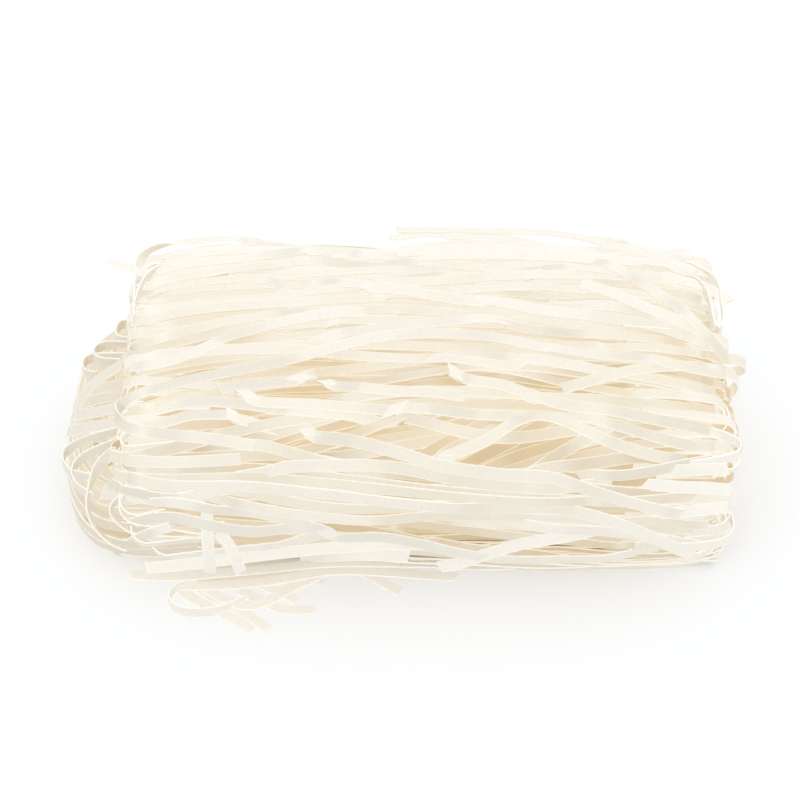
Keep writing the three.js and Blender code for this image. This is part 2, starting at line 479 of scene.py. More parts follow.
def over_the_end(strand, outward, radius, tail):
    """Carries a strand on over the block's end: half a turn inwards, then back into the heap, with painted
    shade that deepens as it goes back in.
    """
    points, facing = strand.points, strand.facing
    ahead = np.array([np.sign(points[-1, 0] - points[-OVER_SAMPLES, 0]), 0.0, 0.0])
    out = unit(facing[-1] - ahead * facing[-1].dot(ahead))
    side = 1.0 if out.dot(outward) > 0 else -1.0
    out = out * side
    turn = np.linspace(0, math.pi, max(int(math.pi * radius / STEP), OVER_SAMPLES))[1:, None]
    bend = points[-1] + ahead * radius * np.sin(turn) - out * radius * (1 - np.cos(turn))
    look = (out * np.cos(turn) + ahead * np.sin(turn)) * side
    back = bend[-1] - ahead * np.arange(STEP, tail, STEP)[:, None]
    flat = np.zeros(len(bend) + len(back))
    half_turn = math.pi * radius
    # Painted shade: the strand is darker as it turns in and goes back into the heap
    inward = smoothstep(OVER_DARK_FROM * half_turn, half_turn + OVER_DARK_RUN, np.arange(len(flat)) * STEP)
    return Strand(
        np.vstack([points, bend, back]),
        np.vstack([facing, look, np.repeat(look[-1:], len(back), 0)]),
        np.concatenate([strand.mark, flat]),
        np.concatenate([strand.depth, strand.depth[-1] + OVER_DEPTH * inward]),
        np.concatenate([strand.clear, flat]),
        strand.width,
    )


def fold(strand, i, outward):
    """The pale facet where a strand is folded over: a short piece that lies slantwise from edge to edge."""
    ahead = unit(strand.points[i + 1] - strand.points[i - 1])
    out = strand.facing[i] * (1.0 if strand.facing[i].dot(outward) > 0 else -1.0)
    across = np.cross(out, ahead)
    angle = math.radians(RNG.uniform(*FOLD_ANGLE))
    side = RNG.choice([-1, 1])
    way = ahead * math.cos(angle) + across * side * math.sin(angle)
    half = 0.5 * strand.width / math.sin(angle)
    points = strand.points[i] + out * FOLD_STEP + way * np.linspace(-half, half, FOLD_SAMPLES)[:, None]
    look = unit(out + np.cross(out, way) * math.tan(FOLD_LEAN) * side)
    slant = -side / math.tan(angle)
    flat = np.zeros(FOLD_SAMPLES)
    facing = np.repeat(look[None], FOLD_SAMPLES, 0)
    width = RNG.uniform(*FOLD_WIDTH)
    return Strand(points, facing, flat + FOLD_MARK, flat + strand.depth[i], flat, width, (slant, slant))


def settle(laid, level, crest, shading):
    """A laid strand in space, with the heap's usual top on the block's skin, and the facets of its folds."""
    x, s = laid.path.T
    bright, shade = tones(x, s)
    # Painted shade: the deeper a strand lies below the heap's crest, the darker, with painted light and shade
    # added by place
    depth = (crest[heap.cells(x, s)] - laid.lift) * bright * shading + shade
    points = skin(x, s, laid.lift - level)
    along = heading_of(points)
    side = unit(np.cross(skin_normal(s), along))
    twist = laid.twist[:, None]
    facing = np.cross(along, side) * np.cos(twist) + side * np.sin(twist)
    strand = Strand(points, facing, laid.mark, depth, laid.clear * read_off(FRONT_CLEAR, s), laid.width)
    shows = (depth < FOLD_DEEPEST) & (np.abs(laid.twist) < FOLD_TILT)
    facets = [fold(strand, i, skin_normal(s[i])) for i in laid.folds if shows[i]]
    for end, outward in zip(reversed(laid.ends), skin_normal(s[[-1, 0]])):
        if end == "over":
            strand = over_the_end(strand, outward, laid.bend, RNG.uniform(*OVER_TAIL))
        strand = strand.from_other_end()
    return [strand, *facets]


def settled(strands, level, crest, shading=1.0):
    return [piece for laid in strands for piece in settle(laid, level, crest, shading)]


def plain_strand(points, facing, width=WIDTH, depth=0.0, clear=0.0):
    """A strand at one depth, with no whitened places."""
    flat = np.zeros(len(points))
    return Strand(points, facing, flat, flat + depth, flat + clear, width)


FREE_BEND = (0.02, 0.09)
FREE_REACH = 3
FREE_BEND_BLUR = 1.5
FREE_LOOK_BLUR = 2.5


def free_strand(points, facing):
    """A strand off the block: it looks as facing says where it is straight, and along its bend elsewhere."""
    along = heading_of(points)
    bend = blur_columns(np.gradient(along, axis=0) / STEP, FREE_BEND_BLUR)
    sharp = smoothstep(*FREE_BEND, np.linalg.norm(bend, axis=1))
    sharp = blur(highest(sharp, FREE_REACH), FREE_REACH)[:, None]
    inward = unit(bend)
    flip = np.where((inward * facing).sum(1, keepdims=True) < 0, -1.0, 1.0)
    look = blur_columns(facing * (1 - sharp) + inward * flip * sharp, FREE_LOOK_BLUR)
    return plain_strand(points, unit(look - along * (look * along).sum(1, keepdims=True)))


# The filler: strands that run from end to end all round the block, by a seeded rule

# The open place at the front, and smaller ones: their middle, their half length and half height
GAP_MIDDLE_X = 22.0
GAP_MIDDLE = FRONT_EDGE + 6.0
GAP_HALF_LENGTH = 62.0
GAP_HALF_HEIGHT = 10.0
HOLLOWS = [
    ((547, 536), 13.0, 3.4),
    ((450, 550), 15.0, 3.6),
    ((618, 550), 10.0, 3.4),
    ((685, 425), 12.0, 5.5),
]
GAP_CLEAR = 0.6
GAP_SPREAD = 0.15
GAP_BLUR = 5

# The hank's own lay, by girth: the front slopes down to the right, the top comes forward at both ends
LAY_SLOPE = [(0, -3), (25, -8), (FRONT_EDGE, -6), (80, 0)]
LAY_BOW = [(20, 0), (FRONT_EDGE, -10), (90, -15), (130, -10), (165, 0)]
BOW_POWER = 2.4
FILLER_START = 0.31
FILLER_MARGIN = 3.0
FILLER_WAVE = 45.0
FILLER_WIDTH = (0.85, 1.05)
FILLER_LEFT = (1, 5)
FILLER_RIGHT = (1, 6)
FILLER_EDGE = 0.5
# How much farther in a strand may start at the left end, by girth
OPEN_CORNER = [(0, 0), (6, 26), (34, 26), (40, 0)]
STRAY_SHARE = 0.25
STRAY_SLOPE = 3.0
KINK_SHARE = 0.55
KINK_MARGIN = 15
LOOP_RADIUS = (3.2, 5.5)
LOOP_SPREAD = (-0.03, 0.05)
LOOP_WAVES = (50.0, 1.2)
LOOP_CLOSEST = 3.0
LOOP_REACH = 1.2
LOOP_SAMPLES = 14
DIAGONAL_LENGTH = (0.5, 1.0)
DIAGONAL_SHIFT = (-0.6, 0.6)
DIAGONAL_SPREAD = 34.0
DIAGONAL_SLOPE = (0.02, 0.42)
DIAGONAL_WAVES = (40.0, 2.2)
DIAGONAL_SWAY = 18.0
DIAGONAL_WIDTH = (0.9, 1.05)


def open_places():
    """The middle and the half sizes, along x and girth, of each place that the outer strands leave open."""
    places = [(GAP_MIDDLE_X, GAP_MIDDLE, GAP_HALF_LENGTH, GAP_HALF_HEIGHT)]
    for pixel, half_length, half_height in HOLLOWS:
        x, s = onto_block(np.array([pixel] * 3, float), np.zeros(3))[1]
        places.append((x, s, half_length, half_height))
    return places


OPEN_PLACES = open_places()


def filler_path(s0, left, right, slope, waviness):
    x = np.arange(left, right, STEP)
    along = (x - BLOCK_CENTRE[0]) / BLOCK_HALF[0]
    lay = s0 + read_off(LAY_SLOPE, s0) * along + read_off(LAY_BOW, s0) * np.abs(along) ** BOW_POWER
    s = lay + slope * (x - BLOCK_CENTRE[0]) + wander(len(x), FILLER_WAVE / STEP, waviness)
    return np.stack([x, s], 1)


def hairpin_path(s0, left, right, slope, waviness, radius):
    """Out along one path, half a turn within the skin, and back along another."""
    way = RNG.choice([-1, 1])
    out = filler_path(s0, left, right, slope, waviness)[::way]
    spread = 2 * radius + RNG.uniform(*LOOP_SPREAD) * np.abs(out[:, 0] - out[-1, 0])
    spread = np.maximum(spread + wander(len(out), *LOOP_WAVES), LOOP_CLOSEST)
    back = (out + np.stack([np.zeros(len(out)), spread], 1))[::-1]
    half = 0.5 * (back[0] - out[-1])
    turn = np.linspace(0, math.pi, LOOP_SAMPLES)[1:-1, None]
    reach = np.array([way * LOOP_REACH * radius, 0])
    arc = out[-1] + half - half * np.cos(turn) + reach * np.sin(turn)
    return resample(np.vstack([out, arc, back]))


def part_round(path, middle_x, middle_s, half_length, half_height):
    """A path that parts round an open place, or None if it would run through the middle of it."""
    x, s = path.T
    along = (x - middle_x) / half_length
    half = half_height * np.sqrt(np.maximum(1 - along**2, 0))
    away = s - middle_s
    inside = np.abs(away) < half
    if not inside.any():
        return path
    depth = np.mean(away[inside] / half[inside])
    if abs(depth) < GAP_CLEAR:
        return None
    push = np.where(inside, np.sign(depth) * (half + GAP_SPREAD * np.abs(away)) - away, 0)
    return np.stack([x, s + blur(push, GAP_BLUR)], 1)


def lay_filler(numbers, slope, waviness, sway, loops, leave_open):
    """Strands from end to end: some turn back, and some go slantwise. They may leave places open."""
    laid = []
    for k in numbers:
        s0 = ((k * GOLDEN + FILLER_START) % 1) * (GIRTH_LENGTH + 2 * FILLER_MARGIN) - FILLER_MARGIN
        bend = RNG.uniform(*BEND_RADIUS)
        left = LEFT_END + bend + RNG.uniform(*FILLER_LEFT) + RNG.uniform(0, 1) * read_off(OPEN_CORNER, s0)
        right = RIGHT_END - bend - RNG.uniform(*FILLER_RIGHT)
        tilt = RNG.normal(0, slope) * (STRAY_SLOPE if RNG.random() < STRAY_SHARE else 1.0)
        if RNG.random() < loops:
            path = hairpin_path(s0, left, right, tilt, waviness, RNG.uniform(*LOOP_RADIUS))
        else:
            path = filler_path(s0, left, right, tilt, waviness)
        path[:, 1] = np.clip(path[:, 1], FILLER_EDGE, GIRTH_LENGTH - FILLER_EDGE)
        ends = tuple(RNG.choice(["over", "over", "cut"], 2))
        for place in OPEN_PLACES if leave_open else []:
            path = None if path is None else part_round(path, *place)
        if path is None:
            continue
        kinked = RNG.random() < KINK_SHARE
        kinks = [RNG.uniform(KINK_MARGIN, len(path) - KINK_MARGIN)] if kinked else []
        laid.append(lay_strand(path, WIDTH * RNG.uniform(*FILLER_WIDTH), ends, sway, kinks, bend=bend))
    return laid


def lay_diagonals(count):
    """The deeper strands that show in the open place, which climb to the right."""
    laid = []
    for k in range(count):
        half = GAP_HALF_LENGTH * RNG.uniform(*DIAGONAL_LENGTH)
        x = np.arange(-half, half, STEP) + GAP_MIDDLE_X + RNG.uniform(*DIAGONAL_SHIFT) * GAP_HALF_LENGTH
        s0 = GAP_MIDDLE + DIAGONAL_SPREAD * (((k * GOLDEN) % 1) - 0.5)
        slope = RNG.uniform(*DIAGONAL_SLOPE)
        s = s0 + slope * (x - x.mean()) + wander(len(x), *DIAGONAL_WAVES)
        width = WIDTH * RNG.uniform(*DIAGONAL_WIDTH)
        laid.append(lay_strand(np.stack([x, s], 1), width, ("tuck", "tuck"), DIAGONAL_SWAY))
    return laid


# Strands read from the photograph, from the lowest to the highest: each is laid on those before it.
# Those on the block have how they start, the pixels of their middle line, and how they end.
# The others have how they lie, or the height or the plane that they lie in, and their pixels.

GAP_STRANDS = [
    ("cut", [(405, 466), (424, 456), (438, 447), (452, 440), (470, 431), (490, 422)], "cut"),
    ("cut", [(428, 464), (439, 458), (455, 449), (477, 438), (500, 428)], "cut"),
    ("cut", [(452, 471), (466, 464), (480, 457), (495, 450), (514, 441), (535, 428), (554, 419)], "cut"),
    ("cut", [(478, 474), (493, 466), (519, 456), (542, 449), (562, 444), (590, 434), (605, 428)], "cut"),
    ("cut", [(405, 420), (420, 423), (447, 429), (483, 436), (510, 438), (530, 437), (560, 433), (585, 430),
             (612, 430)], "cut"),
    ("cut", [(522, 478), (540, 467), (554, 457), (573, 446), (590, 437), (610, 426)], "cut"),
    ("cut", [(520, 477), (540, 470), (554, 467), (583, 464), (611, 460), (640, 457), (675, 460)], "cut"),
]
BACK_STRANDS = [
    ("flat", [(106, 261), (125, 267), (150, 275)]),
    ("turning", [(133, 310), (142, 284), (154, 270), (170, 260), (193, 254), (239, 250), (315, 252),
                 (400, 256)]),
    ("turning", [(134, 322), (135, 284), (139, 261), (149, 250), (167, 244), (213, 239), (239, 239),
                 (272, 247), (315, 250), (400, 256)]),
    ("flat", [(400, 250), (450, 244), (490, 243), (530, 248), (560, 253), (600, 256)]),
    ("flat", [(388, 238), (440, 233), (450, 238), (480, 235), (510, 238), (535, 244), (570, 252)]),
    ("turning", [(395, 230), (450, 230), (500, 231), (540, 232), (560, 234), (600, 241), (640, 250),
                 (680, 270), (705, 290), (715, 330)]),
    ("flat", [(689, 250), (665, 254), (640, 250), (610, 246)]),
    ("turning", [(668, 257), (690, 263), (711, 278), (720, 293), (722, 310), (724, 321), (720, 332)]),
    ("flat", [(732, 303), (715, 292), (700, 285), (660, 276)]),
    ("flat", [(330, 254), (400, 253), (450, 250), (500, 250), (560, 255), (620, 258)]),
    ("flat", [(420, 256), (500, 255), (570, 258), (640, 262)]),
]
TOP_STRANDS = [
    ("tuck", [(235, 273), (262, 275), (280, 284), (291, 298), (297, 306)], "tuck"),
    ("tuck", [(310, 274), (340, 282), (368, 290), (385, 290), (430, 296), (503, 305), (540, 312),
              (600, 318), (650, 325), (700, 341), (725, 357)], "over"),
    ("tuck", [(547, 295), (575, 302), (620, 308), (660, 318), (700, 335)], "over"),
    ("cut", [(579, 284), (605, 291), (640, 306), (680, 322), (712, 340), (728, 352)], "over"),
    ("tuck", [(572, 250), (600, 262), (640, 283), (680, 312), (700, 330), (715, 345), (728, 362),
              (735, 375)], "over"),
    ("cut", [(128, 366), (160, 362), (195, 353), (230, 338), (270, 325), (310, 316), (350, 311),
             (400, 308)], "tuck"),
    ("tuck", [(290, 345), (340, 335), (400, 326), (440, 323), (490, 318), (530, 315)], "tuck"),
    ("tuck", [(400, 353), (450, 358), (490, 363), (515, 368), (525, 358), (560, 364), (600, 370),
              (640, 372)], "tuck"),
    ("cut", [(560, 385), (600, 377), (640, 371), (690, 368), (740, 373)], "over"),
]
MIDDLE_STRANDS = [
    ("tuck", [(140, 407), (175, 403), (212, 402), (245, 405), (277, 410), (342, 414), (400, 420)], "tuck"),
    ("tuck", [(140, 423), (175, 418), (194, 416), (231, 417), (260, 422), (285, 428)], "tuck"),
    ("tuck", [(600, 395), (640, 394), (680, 395), (705, 399), (725, 407)], "over"),
    ("tuck", [(540, 405), (575, 414), (610, 424), (650, 436), (690, 446), (715, 446), (732, 440)], "over"),
    ("cut", [(216, 390), (250, 385), (280, 382), (295, 380), (318, 374)], "cut"),
    ("cut", [(324, 385), (340, 391), (380, 391), (420, 392), (455, 394), (500, 396)], "tuck"),
    ("cut", [(238, 393), (262, 402), (315, 404), (360, 406), (400, 411), (440, 415), (490, 417), (520, 412),
             (545, 407)], "tuck"),
    ("cut", [(437, 463), (455, 456), (485, 442), (510, 426), (530, 418), (550, 418), (575, 426), (600, 438),
             (630, 449), (660, 457), (690, 461)], "tuck"),
    ("cut", [(450, 379), (470, 385), (500, 387), (530, 395), (565, 405), (600, 411), (640, 418), (680, 425),
             (712, 431)], "cut"),
    ("cut", [(710, 460), (680, 465), (645, 472), (610, 476), (570, 477)], "tuck"),
    ("cut", [(257, 447), (225, 441), (190, 437), (150, 433), (122, 426), (116, 416), (122, 403), (150, 391),
             (190, 380), (240, 370), (290, 358), (340, 346), (390, 337), (440, 334), (490, 337), (553, 349),
             (610, 357), (650, 362), (700, 371), (738, 378)], "over"),
]
FRONT_STRANDS = [
    ("tuck", [(232, 482), (265, 474), (285, 467), (320, 466), (360, 465), (400, 468), (438, 475),
              (483, 484), (531, 487), (580, 488), (615, 486)], "tuck"),
    ("cut", [(125, 460), (170, 462), (243, 459)], "cut"),
    ("cut", [(301, 427), (313, 437), (345, 440), (390, 450), (425, 461), (440, 466), (470, 471), (510, 476),
             (550, 478), (590, 490), (630, 502), (670, 511), (706, 517)], "over"),
    ("cut", [(712, 545), (690, 543), (640, 535), (600, 530), (540, 525), (480, 518)], "tuck"),
    ("cut", [(115, 462), (118, 472), (140, 480), (170, 485), (220, 488), (280, 490), (330, 493), (370, 497),
             (420, 500), (450, 502), (511, 506), (561, 509), (613, 521), (650, 535), (678, 547),
             (705, 558)], "over"),
    ("cut", [(107, 480), (115, 487), (150, 492), (200, 493), (240, 496)], "tuck"),
    ("over", [(151, 557), (190, 555), (240, 550), (290, 545), (330, 538)], "tuck"),
    ("cut", [(131, 523), (150, 518), (175, 517), (205, 524), (245, 531), (285, 532), (310, 536)], "tuck"),
    ("cut", [(173, 524), (151, 530), (136, 536), (126, 541), (122, 547), (125, 555), (134, 559),
             (139, 561)], "cut"),
    ("cut", [(150, 501), (180, 500), (240, 508), (290, 520), (325, 532), (345, 536), (380, 536), (410, 541),
             (440, 548), (480, 556), (520, 559), (600, 558), (660, 556)], "tuck"),
]
LOBE_STRANDS = [
    ("upright", [(136, 325), (123, 324), (118, 328), (116, 334), (118, 339), (126, 341), (136, 342)]),
    ("upright", [(136, 346), (114, 345), (103, 346), (96, 350), (94, 355), (100, 361), (120, 363)]),
    ("upright", [(136, 357), (109, 357), (92, 358), (85, 362), (83, 368), (87, 374), (98, 376)]),
    ("deep", [(132, 384), (110, 386), (90, 392)]),
    ("deep", [(132, 395), (105, 398), (84, 403)]),
    ("flat", [(70, 416), (92, 413), (117, 408), (140, 402)]),
    ("flat", [(66, 432), (87, 428), (122, 421), (145, 414)]),
    ("upright", [(136, 425), (122, 430), (93, 438), (74, 446), (65, 453), (63, 461), (66, 468), (74, 474),
                 (92, 478)]),
    ("upright", [(140, 432), (128, 438), (107, 446), (87, 455), (76, 464), (72, 474), (74, 482), (80, 489),
                 (95, 498)]),
    ("flat", [(99, 493), (115, 494), (140, 497)]),
    ("flat", [(130, 359), (114, 370), (103, 376), (94, 384), (85, 394), (79, 402), (76, 412)]),
    ("edge", [(140, 497), (126, 499), (113, 503), (109, 508), (112, 516), (120, 525), (130, 531)]),
    ("edge", [(134, 436), (126, 443), (114, 452), (101, 463), (93, 476), (89, 489), (87, 504), (89, 515),
              (95, 528), (107, 540), (116, 546), (128, 550)]),
]
FLOOR_STRANDS = [
    ("flat", [(178, 588), (190, 597), (212, 608), (235, 620), (253, 629)]),
    ("flat", [(200, 588), (212, 597), (244, 613), (269, 630)]),
    ("flat", [(240, 590), (268, 604), (288, 610), (315, 610)]),
    ("flat", [(262, 585), (286, 595), (297, 600)]),
    ("flat", [(350, 562), (365, 573), (385, 584), (400, 592)]),
    ("flat", [(345, 562), (320, 575), (294, 586), (266, 602), (246, 606), (231, 602), (216, 595),
              (205, 588)]),
    ("upright", [(184, 584), (174, 589), (169, 597), (174, 607), (190, 612), (212, 611), (229, 606),
                 (245, 599)]),
    ("flat", [(180, 586), (212, 586), (255, 583), (290, 578), (331, 571), (380, 572), (420, 575),
              (456, 577)]),
    ("flat", [(131, 575), (173, 577), (223, 573), (277, 568), (331, 563), (380, 563), (440, 564),
              (475, 566), (515, 565), (545, 562)]),
]
END_LOOPS = [
    (50, [(680, 429), (705, 431), (725, 436), (738, 443), (741, 449), (735, 456), (716, 461), (690, 465)]),
    (17, [(690, 505), (717, 508), (729, 515), (733, 525), (731, 535), (722, 542), (700, 546), (680, 547)]),
]
STRIPS = [
    (-45.0, [(640, 484), (680, 487), (706, 488), (731, 490)]),
    (-45.0, [(655, 473), (690, 470), (728, 469)]),
    (-45.0, [(650, 514), (690, 511), (727, 507)]),
    (-41.5, [(300, 557), (330, 556), (360, 555), (409, 556)]),
    (-42.0, [(602, 528), (569, 536), (531, 542), (510, 547), (484, 555), (460, 563), (439, 567)]),
    (-44.5, [(428, 545), (400, 544), (364, 546), (330, 548), (299, 551), (246, 557), (190, 564),
             (146, 568)]),
    (-46.0, [(218, 522), (222, 535), (232, 550), (241, 572)]),
    (-46.7, [(207, 508), (207, 525), (208, 545), (210, 572)]),
]
KINK_PIXELS = [
    (305, 379), (331, 388), (248, 398), (310, 433), (235, 415), (400, 410), (455, 380), (440, 460),
    (525, 365), (560, 350), (555, 330), (575, 295), (500, 300), (375, 290), (440, 265), (330, 533),
]
KINK_REACH = 6.0
TRACED_WIDTH = (0.95, 1.05)
TRACED_SWAY = 7.0
BACK_LIFT = 1.0
BACK_TOWARD = 0.4
BACK_EDGE = (16.0, 6.0)
STRIP_TUCK = 5.0


def kinks_on(lines):
    """The shares of each line's length at which it is kinked. A kink belongs to the nearest line."""
    shares = [[] for _ in lines]
    for kink in KINK_PIXELS:
        away = [np.linalg.norm(line - kink, axis=1) for line in lines]
        nearest = min(range(len(lines)), key=lambda k: away[k].min())
        if away[nearest].min() < KINK_REACH:
            shares[nearest].append(away[nearest].argmin() / len(lines[nearest]))
    return shares


def lay_traced(strands, level, lowest):
    """Lays strands along their pixels. They bridge what is lower than lowest."""
    laid = []
    reach = int(STIFFNESS / STEP)
    lines = [curve(points) for _, points, _ in strands]
    for (start, _, end), pixels, shares in zip(strands, lines, kinks_on(lines)):
        path = onto_block(pixels, np.zeros(len(pixels)))
        top = np.maximum(highest(heap.top(path), reach), lowest)
        path = resample(onto_block(pixels, blur(top, reach) - level))
        bend = RNG.uniform(*BEND_RADIUS)
        trim = [int(bend / STEP) if kind == "over" else 0 for kind in (start, end)]
        path = path[trim[0] : len(path) - trim[1]]
        kinks = [share * len(path) * STEP for share in shares]
        width = WIDTH * RNG.uniform(*TRACED_WIDTH)
        laid.append(lay_strand(path, width, (start, end), TRACED_SWAY, kinks, bend, lowest))
    return laid


def standing(line):
    """The way that a strand's face looks where it stands on its edge."""
    return np.cross(UP, heading_of(line))


def back_traced():
    """The loose strands on the outline of the top. Some of them turn on edge at the block's ends."""
    strands = []
    for look, points in BACK_STRANDS:
        line = onto(curve(points), block_outside, BACK_LIFT)
        facing = unit(block_normal(line) + BACK_TOWARD * unit(CAMERA_PLACE - line))
        if look == "turning":
            near = np.minimum(line[:, 0] - LEFT_END, RIGHT_END - line[:, 0])
            on_edge = smoothstep(*BACK_EDGE, near)[:, None]
            endwards = np.sign(line[:, :1] - BLOCK_CENTRE[0]) * CAMERA_RIGHT
            strands.append(free_strand(line, unit(facing * (1 - on_edge) + endwards * on_edge)))
        else:
            strands.append(plain_strand(line, facing))
    return strands


def loops_and_strips():
    """Loops that stand upright at the right end, and strips at that end and on the front, with cut ends."""
    strands = []
    for height, points in END_LOOPS:
        line = resample(at_height(curve(points), height))
        strands.append(plain_strand(line, standing(line)))
    for plane, points in STRIPS:
        pixels = curve(points)
        inward = STRIP_TUCK * tucked(np.arange(len(pixels)) * STEP)
        line = resample(on_plane(pixels, 1, plane + inward))
        strands.append(plain_strand(line, unit(CAMERA_PLACE - line)))
    return strands


# The lower fold's own strands, and those on the floor

# Painted shade of the lower fold, which lies low in the block's shade: its strands are greyed as if clear of
# the heap
LOBE_SHADE = 3.2
LOBE_SHADE_GREYING = 2.5
LOBE_LIFT = 0.6
LOBE_LIFT_EACH = 0.3
LOBE_TOWARD = 0.6
LOOP_SHADE = 0.8
LOOP_SMOOTH = 7.0
LOOP_RISE = 2.0
EDGE_ROLL = math.radians(75)
EDGE_ROLL_RUN = (0.15, 0.5)
SPILL = 7
SPILL_LEFT = (-66, -45)
SPILL_RIGHT = (-35, 5)
SPILL_FRONT = (-44, -34)
SPILL_SLOPE = (0.03, 0.12)
SPILL_WAVES = (40.0, 1.2)
SPILL_SHADE = 2.5
FLOOR_STIFFNESS = 5.0


def lobe_traced():
    """Strands of the lower fold: loops that stand upright, flat strands, and some that turn on edge."""
    strands = []
    for k, (look, points) in enumerate(LOBE_STRANDS):
        pixels = curve(points)
        if look == "upright":
            height = blur(meet(pixels, lobe_outside)[:, 2], LOOP_SMOOTH) + LOOP_RISE
            line = resample(at_height(pixels, height))
            facing = standing(line)
        else:
            line = onto(pixels, lobe_outside, LOBE_LIFT + LOBE_LIFT_EACH * k)
            toward = unit(CAMERA_PLACE - line)
            facing = unit(unit((line - LOBE_CENTRE) / LOBE_HALF**2) + LOBE_TOWARD * toward)
        if look == "edge":
            roll = EDGE_ROLL * smoothstep(*EDGE_ROLL_RUN, np.linspace(0, 1, len(line)))[:, None]
            facing = toward * np.cos(roll) + unit(np.cross(toward, heading_of(line))) * np.sin(roll)
        depth = LOBE_SHADE if look == "deep" else LOOP_SHADE
        strands.append(plain_strand(line, facing, depth=depth, clear=LOBE_SHADE_GREYING))
    return strands


def rest_on_floor(line):
    """The height at which a flat strand rests on the floor and on the strands there."""
    path = np.stack([line[:, 0], FLOOR_BACK - line[:, 1]], 1)
    lift, _ = ground.lay(path, np.zeros(len(path)), WIDTH, 0.0, FLOOR_STIFFNESS)
    return lift


def spill():
    """Strands on the floor along the front's left half, under those read from the photograph."""
    strands = []
    for k in range(SPILL):
        x = np.arange(RNG.uniform(*SPILL_LEFT), RNG.uniform(*SPILL_RIGHT), STEP)
        y = np.interp((k * GOLDEN) % 1, [0, 1], SPILL_FRONT) + RNG.uniform(*SPILL_SLOPE) * (x - x[0])
        line = np.stack([x, y + wander(len(x), *SPILL_WAVES), np.zeros(len(x))], 1)
        line[:, 2] = rest_on_floor(line)
        strands.append(plain_strand(line, np.tile(UP, (len(line), 1)), depth=SPILL_SHADE))
    return strands


def floor_traced():
    """Strands at the front's foot, each on those before it. One is a loop that stands on its edge."""
    strands = []
    for look, points in FLOOR_STRANDS:
        pixels = curve(points)
        if look == "upright":
            line = resample(at_height(pixels, 0.5 * WIDTH))
            facing = standing(line)
        else:
            line = resample(at_height(pixels, rest_on_floor(at_height(pixels, 0.0))))
            facing = np.tile(UP, (len(line), 1))
        strands.append(plain_strand(line, facing))
    return strands


# Strands by a seeded rule that fill the two ends, the lower fold and the underside

HAIRPIN_SAMPLES = 16
HAIRPIN_SPLAY = (-0.08, 0.12)
HAIRPIN_WIDTH = (0.92, 1.05)
END_INSET = 6.0
END_FOOT = 2.0
END_COLUMN = 3.8
END_ROW = 7.0
END_JITTER = 3.5
END_BACK = (2, 8)
END_RADIUS = (2.4, 6.5)
END_AIM = 0.12
END_ROLL = 0.9
END_LEG = 24.0
# Painted shade: the ends' hairpins are darker the farther back they lie
END_DARKENING = 0.25
LOBE_EDGES = (5.0, 3.0)
LOBE_FOOT = 4.0
LOBE_COLUMN = 3.9
LOBE_ROW = 6.6
LOBE_JITTER = 2.0
LOBE_BACK = (3, 9)
LOBE_RADIUS = (2.8, 5.5)
LOBE_AIM = np.array([0.9, 0.25])
LOBE_ROLL = (1.4, 0.2)
LOBE_LEG = 34.0
# Painted shade: the lower fold's hairpins are darker the farther back they lie
LOBE_DARKENING = 0.3
BELTS = 44
BELT_SAMPLES = 160
BELT_SWEEP = 0.62 * math.pi
BELT_HEIGHTS = (-0.92, 0.98)
BELT_HIGHEST = 0.97
BELT_INSET = (0.5, 5.0)
BELT_TILT = (-4, 4)
BELT_WAVES = (40.0, 1.5)
# Painted shade: the belts are darker the deeper they are inset
BELT_DARKENING = 0.9
UNDERSIDE = 36
UNDERSIDE_ENDS = (4, 12)
UNDERSIDE_REACH = (-45, 49)
UNDERSIDE_WAVES = (45.0, 2.6)
UNDERSIDE_SLOPE = (-0.03, 0.03)
UNDERSIDE_STEEPEST = 0.9
UNDERSIDE_LAYERS = 3
UNDERSIDE_LAYER = 1.1


def hairpin(tip, way, roll, radius, leg, inset, clear=0.0):
    """A hairpin whose bend touches tip: two legs that run back from it, one over the other."""
    apart = np.array([0.0, math.sin(roll), math.cos(roll)])
    apart = unit(apart - way * apart.dot(way))
    turn = np.linspace(math.pi / 2, -math.pi / 2, HAIRPIN_SAMPLES)[:, None]
    look = way * np.cos(turn) + apart * np.sin(turn)
    bend = tip - way * radius + radius * look
    back = np.arange(leg, 0, -STEP)[:, None]
    splay = RNG.uniform(*HAIRPIN_SPLAY, 2)
    first = bend[0] - way * back + apart * splay[0] * back
    last = (bend[-1] - way * back - apart * splay[1] * back)[::-1]
    facing = np.vstack([np.repeat(look[:1], len(back), 0), look, np.repeat(look[-1:], len(back), 0)])
    # Painted shade: darker by the inset, and more so along the legs into the heap
    depth = inset + np.concatenate([back[:, 0], np.zeros(len(bend)), back[::-1, 0]]) / leg * OVER_DEPTH
    width = WIDTH * RNG.uniform(*HAIRPIN_WIDTH)
    return plain_strand(np.vstack([first, bend, last]), facing, width, depth, clear)


def spots(columns, rows, jitter, half, power):
    """Places in columns and rows, each a little off, within a rounded outline, with the room left there."""
    for y in columns:
        for z in rows:
            spot = np.array([y, z]) + RNG.uniform(-jitter, jitter, 2)
            room = 1 - (np.abs(spot / half) ** power).sum()
            if room > 0:
                yield spot, room


def end_hairpins(way):
    """Rows of hairpins behind the block's outer strands, at one end."""
    strands = []
    inside = BLOCK_HALF[1:] - END_INSET
    columns = np.arange(-inside[0], inside[0], END_COLUMN)
    rows = np.arange(END_FOOT - inside[1], inside[1], END_ROW)
    for spot, _ in spots(columns, rows, END_JITTER, inside, BLOCK_CORNER):
        back = RNG.uniform(*END_BACK)
        tip = BLOCK_CENTRE + np.array([way * (BLOCK_HALF[0] - back), *spot])
        radius = RNG.uniform(*END_RADIUS)
        tip[2] = max(tip[2], radius + 0.5 * WIDTH)
        aim = unit(np.array([way, *RNG.uniform(-END_AIM, END_AIM, 2)]))
        roll = RNG.normal(0, END_ROLL)
        strands.append(hairpin(tip, aim, roll, radius, END_LEG, END_DARKENING * back))
    return strands


